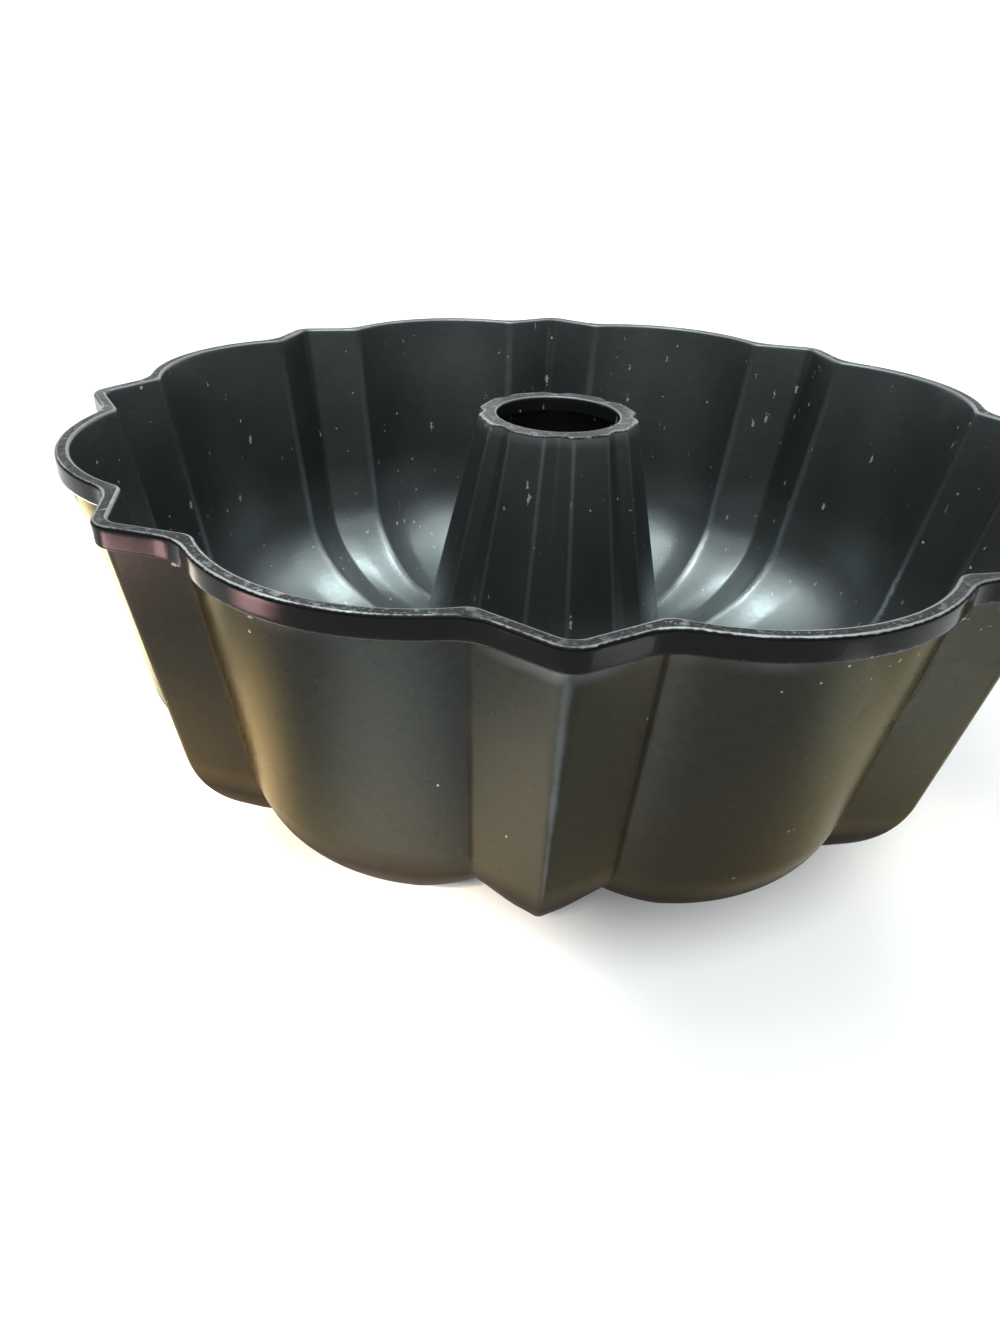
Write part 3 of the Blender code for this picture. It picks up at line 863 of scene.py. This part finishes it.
def paint_nonstick(material):
    tree = material.node_tree
    shader = shader_of(material)
    worn = worn_of(tree)
    fray = fray_of(tree)
    patches = share_of(tree, noise(tree, 30.0, 3.0), 0.35, 0.65)
    busy = spread(tree, share_of(tree, noise(tree, 26.0, 1.0), 0.35, 0.62), 0.05, 0.45)
    lines = most(
        tree, scratches(tree, fray, (0.25, 0.1, 0), 0.7), scratches(tree, fray, (-0.2, 0.3, 0), 0.7),
        scratches(tree, fray, (0.0, -0.35, 0), 0.6), scratches(tree, fray, (1.4, 0.5, 0), 0.4),
    )
    marks = most(
        tree, nicks(tree, fray, (0.3, 0.2, 0), busy), nicks(tree, fray, (-0.5, 0.9, 0), busy),
        nicks(tree, fray, (1.2, -0.4, 0.5), busy),
    )
    crumbs = most(
        tree, flecks(tree, 190.0, CRUMB_REACH, busy, fray=fray),
        flecks(tree, 320.0, SPECK_REACH, calc(tree, "MULTIPLY", busy, 0.4), fray=fray),
    )
    marked = most(tree, calc(tree, "MULTIPLY", lines, 0.6), calc(tree, "MULTIPLY", marks, 0.8), crumbs)
    bare = bare_metal(tree, 0.46, 0.70)
    colour = mix(tree, patches, COAT_DARK, COAT_PALE)
    colour = mix(tree, spread(tree, noise(tree, 900.0, 2.0), 0.0, 0.4), colour, COAT_PALE)
    colour = mix(tree, share_of(tree, height_of(tree), SCOURED_FROM, SCOURED_TO), colour, COAT_SCOURED)
    colour = mix(tree, share_of(tree, worn, 0.1, 1.0), colour, COAT_RUBBED)
    # Darker with dirt and painted shade where the worn number is below 0.
    colour = mix(tree, share_of(tree, worn, 0.0, -1.0), colour, COAT_DIRT_AND_SHADE)
    colour = mix(tree, calc(tree, "MULTIPLY", marked, 0.9), colour, CRUMB)
    colour = mix(tree, bare, colour, metal_colour(tree))
    metal = most(tree, spread(tree, marked, 0.82, 0.2), bare)
    satin = spread(tree, noise(tree, 70.0, 4.0), 0.23, 0.34)
    sparkle = spread(tree, noise(tree, 1000.0, 2.0), -0.02, 0.14)
    scuffed = spread(tree, share_of(tree, worn, 0.4, 1.0), 0.0, 0.12)
    rough = calc(tree, "ADD", calc(tree, "ADD", satin, sparkle), scuffed)
    grain = calc(tree, "ADD", noise(tree, 1500.0, 2.0), calc(tree, "MULTIPLY", lines, -0.4))
    grain = calc(tree, "ADD", grain, calc(tree, "MULTIPLY", crumbs, 1.5))
    grain = calc(tree, "ADD", grain, calc(tree, "MULTIPLY", noise(tree, 450.0, 2.0), 3.0))
    bump = add(tree, "Bump", {"Strength": 0.4, "Distance": 0.00005, "Height": grain}).outputs[0]
    wire(material, shader, Base_Color=colour, Metallic=metal, Roughness=rough, Normal=bump)


paint_nonstick(nonstick)

# %% [markdown]
# The band's side is near black and smooth, so it shows what lies round the pan as a dark mirror would. It
# knocks against racks, taps and other pans, so its outer edge is bare aluminium, and its side has a few
# marks. Bare metal is rougher than the coat and dull with grease in places, so it gets its own roughness.

# %% Paint the rim coat
RIM_BLACK = (0.0055, 0.0050, 0.0045, 1)
KNOCK_MARK_REACH = 0.00060


def paint_rim(material):
    tree = material.node_tree
    shader = shader_of(material, Specular_IOR_Level=0.12)
    knocks = flecks(tree, 110.0, KNOCK_MARK_REACH, 0.2, place_of(tree, (0.2, 0.1, 0.4), (1, 1, 2.2)))
    bare = most(tree, bare_metal(tree, 0.52, 0.85), knocks)
    colour = mix(tree, bare, RIM_BLACK, metal_colour(tree))
    rough = spread(tree, bare, 0.14, 0.42)
    grain = calc(tree, "SUBTRACT", noise(tree, 250.0, 2.0), bare)
    bump = add(tree, "Bump", {"Strength": 0.25, "Distance": 0.00004, "Height": grain}).outputs[0]
    wire(material, shader, Base_Color=colour, Metallic=bare, Roughness=rough, Normal=bump)


paint_rim(rim_coat)

# %% [markdown]
# The flat lands of the rim and of the tube are where racks and knives touch most. Their coat is thin and
# grey, with the metal showing through in specks, and it is gone along the outer edge. Some stretches have
# been rubbed smooth, and those flash where the light lies behind them.

# %% Paint the worn lands
LAND_GREY = (0.022, 0.024, 0.024, 1)
LAND_DARK = (0.008, 0.009, 0.009, 1)


def paint_land(material):
    tree = material.node_tree
    shader = shader_of(material, Specular_IOR_Level=0.2)
    bare = bare_metal(tree, 0.55, 0.95)
    specks = share_of(tree, noise(tree, 1500.0, 2.0), 0.58, 0.70)
    scraped = share_of(tree, noise(tree, 420.0, 3.0), 0.56, 0.70)
    polished = share_of(tree, noise(tree, 24.0, 1.0), 0.50, 0.58)
    worn = most(tree, bare, calc(tree, "MULTIPLY", specks, 0.5), calc(tree, "MULTIPLY", scraped, 0.6))
    thin = mix(tree, share_of(tree, noise(tree, 160.0, 3.0), 0.35, 0.65), LAND_DARK, LAND_GREY)
    colour = mix(tree, worn, thin, metal_colour(tree))
    metal = spread(tree, worn, 0.45, 1.0)
    rough = spread(tree, noise(tree, 300.0, 3.0), 0.38, 0.58)
    rough = calc(tree, "ADD", rough, spread(tree, polished, 0.0, -0.16))
    grain = calc(tree, "SUBTRACT", noise(tree, 900.0, 3.0), worn)
    bump = add(tree, "Bump", {"Strength": 0.6, "Distance": 0.0001, "Height": grain}).outputs[0]
    wire(material, shader, Base_Color=colour, Metallic=metal, Roughness=rough, Normal=bump)


paint_land(worn_land)

# %% [markdown]
# The camera stands where the photograph was taken from: close to the pan and a little above its rim, so the
# near lobes look large and the view reaches down into the bowl. Its place, its turn and its lens were found
# together, by fitting the rim and the wall to their edges in the photograph. A small shift of the lens
# allows for a crop.

# %% Place the camera
EYE = Vector((-0.0100, -0.2510, 0.1627))
EYE_TURN = (1.0184, -0.0196, 0.0814)
SENSOR_WIDTH = 36
LENS = 24.90
LENS_SHIFT = (0.0366, 0.0043)
NEAREST_SEEN = 0.01
camera_data = bpy.data.cameras.new("camera")
camera_data.sensor_width = SENSOR_WIDTH
camera_data.lens = LENS
camera_data.shift_x, camera_data.shift_y = LENS_SHIFT
camera_data.clip_start = NEAREST_SEEN
camera = bpy.data.objects.new("camera", camera_data)
camera.location = EYE
camera.rotation_euler = EYE_TURN
bpy.context.scene.collection.objects.link(camera)
bpy.context.scene.camera = camera
print("the camera is", round(EYE.length, 3), "m from the middle of the pan's foot")

# %% [markdown]
# The pan stands on a sheet of white paper that curves up behind it, so no horizon shows. The paper takes the
# pan's shadow. Paper alone would turn grey away from the lamps, so it also glows a little for the eye and in
# reflections, and more the further it is from the pan. Close round the foot the glow is cut back, which
# paints a shadow round the foot onto the paper, and the pan's low wall mirrors that painted shadow too.

# %% Lay the paper
PAPER_HALF = 2.0
PAPER_BACK = 1.6
PAPER_TOP = 2.2
PAPER_ROUND = 0.5
PAPER_STEPS = 16
PAPER_WHITE = (0.50, 0.50, 0.50, 1)
GLOW_PAINTED_SHADOW, GLOW_NEAR, GLOW_FAR = 0.15, 0.62, 1.00
PAINTED_SHADOW_REACH, PAINTED_SHADOW_END = 0.088, 0.135  # from the axis: the glow grows between them, out of a painted shadow under the pan
NEAR_REACH, NEAR_END = 0.22, 0.60  # and it grows again between these


def lay_paper():
    bm = bmesh.new()
    path = [Vector((-PAPER_HALF, -PAPER_HALF, 0))]
    for k in range(PAPER_STEPS + 1):
        turn = math.pi / 2 * k / PAPER_STEPS
        back = PAPER_BACK - PAPER_ROUND * (1 - math.sin(turn))
        path.append(Vector((-PAPER_HALF, back, PAPER_ROUND * (1 - math.cos(turn)))))
    path.append(Vector((-PAPER_HALF, PAPER_BACK, PAPER_TOP)))
    verts = [bm.verts.new(point) for point in path]
    edges = [bm.edges.new(pair) for pair in zip(verts, verts[1:])]
    made = bmesh.ops.extrude_edge_only(bm, edges=edges)["geom"]
    moved = [item for item in made if isinstance(item, bmesh.types.BMVert)]
    bmesh.ops.translate(bm, verts=moved, vec=(2 * PAPER_HALF, 0, 0))
    bmesh.ops.recalc_face_normals(bm, faces=bm.faces)
    mesh = bpy.data.meshes.new("paper_sheet")
    bm.to_mesh(mesh)
    bm.free()
    mesh.shade_smooth()
    sheet = bpy.data.objects.new("paper_sheet", mesh)
    bpy.context.scene.collection.objects.link(sheet)
    return sheet


def paint_paper(material):
    tree = material.node_tree
    shader = shader_of(
        material, Base_Color=PAPER_WHITE, Roughness=0.9, Specular_IOR_Level=0.0, Emission_Color=(1, 1, 1, 1),
    )
    ray = add(tree, "LightPath").outputs
    seen = most(tree, ray["Is Camera Ray"], ray["Is Glossy Ray"], ray["Is Transmission Ray"])
    far = add(tree, "VectorMath", {0: place_of(tree)}, operation="LENGTH").outputs["Value"]
    open_glow = spread(tree, share_of(tree, far, NEAR_REACH, NEAR_END), GLOW_NEAR, GLOW_FAR)
    # Painted shadow: the glow drops close round the foot.
    painted_shadow_glow = spread(tree, share_of(tree, far, PAINTED_SHADOW_REACH, PAINTED_SHADOW_END), GLOW_PAINTED_SHADOW, GLOW_FAR)
    glow = calc(tree, "MINIMUM", open_glow, painted_shadow_glow)
    wire(material, shader, Emission_Strength=calc(tree, "MULTIPLY", seen, glow))


sheet = lay_paper()
paper = new_finish("paper")
paint_paper(paper)
sheet.data.materials.append(paper)

# %% [markdown]
# The room is a plain grey, and its light comes from soft boxes. The ceiling is broad and dim and gives the
# bowl its cool sheen. The lamp is small and bright, and hangs where the floor of the bowl mirrors it to the
# camera, so it makes the glints. The side lamp does the same, more weakly, for what leans to the left. A
# picture of a real room could light the pan too, but lamps can be moved until each glint falls where it
# should. The Standard view transform shows colours about as they are written.

# %% Light the room
ROOM_GREY = (0.36, 0.38, 0.39, 1)
world = bpy.data.worlds.new("room")
bpy.context.scene.world = world
world.use_nodes = True
world.node_tree.nodes["Background"].inputs["Color"].default_value = ROOM_GREY


def soft_box(name, place, aim, size, radiance, colour):
    """An area lamp whose face has this radiance, aimed at a point."""
    data = bpy.data.lights.new(name, "AREA")
    data.shape = "RECTANGLE"
    data.size, data.size_y = size
    data.energy = radiance * math.pi * size[0] * size[1]
    data.color = colour
    box = bpy.data.objects.new(name, data)
    box.location = place
    box.rotation_euler = (Vector(aim) - Vector(place)).to_track_quat("-Z", "Y").to_euler()
    bpy.context.scene.collection.objects.link(box)
    print(f"{name}: {data.energy:.1f} W")


COOL_WHITE = (0.88, 1.0, 1.0)
DAY_WHITE = (0.92, 1.0, 1.0)
soft_box("ceiling", (-0.10, -0.10, 1.05), (-0.10, -0.10, 0), (1.9, 1.5), 1.30, COOL_WHITE)
soft_box("window", (0.15, -1.55, 0.95), (0, 0, 0), (1.2, 0.6), 0.9, DAY_WHITE)
soft_box("lamp", (-0.10, 0.0, 1.04), (-0.10, 0, 0), (0.36, 0.32), 7.8, COOL_WHITE)
soft_box("side_lamp", (-0.72, -0.05, 1.04), (-0.72, -0.05, 0), (0.5, 0.3), 1.8, COOL_WHITE)
bpy.context.scene.view_settings.view_transform = "Standard"

# %% [markdown]
# The outer wall leans outwards from the foot, so all that it can mirror is the paper next to the pan. Its
# golden, grey and rosy areas are patches of coloured light on that paper. A spot lamp out beyond each patch
# throws it, so the pan itself takes little of that light.

# %% Throw pools of light on the paper
POOL_DISTANCE = 0.60
POOL_HEIGHT = 0.60
SPOT_RADIUS = 0.02


def pool(name, centre, reach, power, colour):
    """A pool of light on the paper. Its spot lamp stands further out, so the beam reaches under the wall."""
    aim = Vector((*centre, 0))
    place = aim + aim.normalized() * POOL_DISTANCE + Vector((0, 0, POOL_HEIGHT))
    data = bpy.data.lights.new(name, "SPOT")
    data.spot_size = 2 * math.atan(reach / (aim - place).length)
    data.spot_blend = 1.0
    data.shadow_soft_size = SPOT_RADIUS
    data.energy = power
    data.color = colour
    spot = bpy.data.objects.new(name, data)
    spot.location = place
    spot.rotation_euler = (aim - place).to_track_quat("-Z", "Y").to_euler()
    bpy.context.scene.collection.objects.link(spot)
    print(f"{name}: {power:.0f} W on a circle of {reach * 1000:.0f} mm radius")


pool("gold_pool", (-0.112, -0.076), 0.044, 230.0, (1.0, 0.73, 0.44))
pool("straw_pool", (-0.180, 0.035), 0.080, 800.0, (1.0, 0.90, 0.68))
pool("tan_pool", (-0.040, -0.122), 0.042, 125.0, (1.0, 0.80, 0.60))
pool("pale_pool", (-0.045, -0.172), 0.065, 145.0, (0.95, 1.0, 0.97))
pool("olive_pool", (0.117, -0.068), 0.034, 22.0, (1.0, 0.98, 0.72))
pool("grey_pool", (0.148, -0.128), 0.045, 120.0, (0.90, 1.0, 0.98))
pool("band_pool", (0.178, -0.190), 0.035, 240.0, (0.95, 1.0, 1.0))
pool("rose_pool", (-0.262, -0.190), 0.060, 1900.0, (1.0, 0.56, 0.57))
